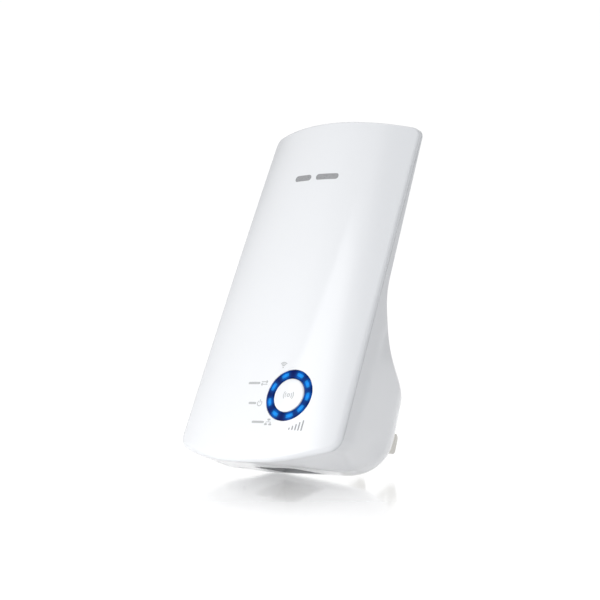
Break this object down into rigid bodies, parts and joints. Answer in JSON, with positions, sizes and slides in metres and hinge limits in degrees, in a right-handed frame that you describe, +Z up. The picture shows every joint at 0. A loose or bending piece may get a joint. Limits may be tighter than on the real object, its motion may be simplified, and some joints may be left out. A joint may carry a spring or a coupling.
{
  "type": "wifi range extender",
  "caption": "Plug-in wireless range extender: slim convex front plate over a deeper plug block, with a lit ring round a push button, a network jack below and two flat plug blades behind.",
  "frame": {"origin": "midway between the two plug blades, on the rear face that rests on the wall", "axes": "+Y into the wall, the way the blades point; +Z up; +X right seen from the front"},
  "size_m": [0.0652, 0.0583, 0.1099],
  "materials": {
    "front_cover": "high gloss white",
    "back_cover": "gloss white",
    "rear_label": "blank satin film",
    "steel_screw": "zinc plated",
    "ring": "dark blue tinted, glossy",
    "guide": "milky, lit blue",
    "baffle": "matt",
    "button": "high gloss white",
    "plunger": "matt",
    "switch_metal": "satin",
    "board_green": "solder mask",
    "power_brown": "solder mask",
    "led": "clear resin",
    "shield": "tin plated",
    "chip": "moulded resin",
    "jack": "moulded",
    "gold": "gold plated",
    "antenna": "laminate",
    "lead": "extruded",
    "sheet": "film",
    "coil_tape": "tape wound",
    "can_sleeve": "shrink sleeve",
    "out_sleeve": "shrink sleeve",
    "copper": "enamelled copper",
    "resistor": "lacquered",
    "disc": "epoxy dipped",
    "carrier": "white",
    "blade": "nickel plated brass"
  },
  "bodies": {
    "chassis": {"front_cover": "front_cover", "back_cover": "back_cover", "rear_label": "rear_label", "case_screws": "steel_screw", "light_ring": "ring", "light_guide": "guide", "light_baffle": "baffle", "button_switch": "switch_metal", "reset_switch": "switch_metal", "main_board": "board_green", "board_screws": "steel_screw", "status_leds": "led", "shield_can": "shield", "processor": "chip", "crystal": "shield", "memory_chip": "chip", "flash_chip": "chip", "network_magnetics": "chip", "network_jack": "jack", "jack_contacts": "gold", "antenna_left": "antenna", "antenna_right": "antenna", "antenna_lead_left": "lead", "antenna_lead_right": "lead", "insulation_sheet": "sheet", "board_link": "gold", "power_board": "power_brown", "power_screws": "steel_screw", "transformer": "coil_tape", "input_capacitors": "can_sleeve", "output_capacitor": "out_sleeve", "choke_coil": "copper", "fuse_resistor": "resistor", "safety_capacitor": "disc", "bridge_rectifier": "chip", "power_controller": "chip", "blade_carrier": "carrier", "plug_blade_left": "blade", "plug_blade_right": "blade"},
    "button": {"button_cap": "button", "button_plunger": "plunger"},
    "reset": {"reset_plunger": "plunger"}
  },
  "joints": [
    {"name": "button_press", "type": "slide", "parent": "chassis", "child": "button", "axis": [0, 1, 0], "range_m": [0, 0.0005], "stiffness_N_per_m": 2500, "springref_m": -0.0002},
    {"name": "reset_press", "type": "slide", "parent": "chassis", "child": "reset", "axis": [0, 0, 1], "range_m": [0, 0.0003], "stiffness_N_per_m": 2500, "springref_m": -0.0002}
  ]
}
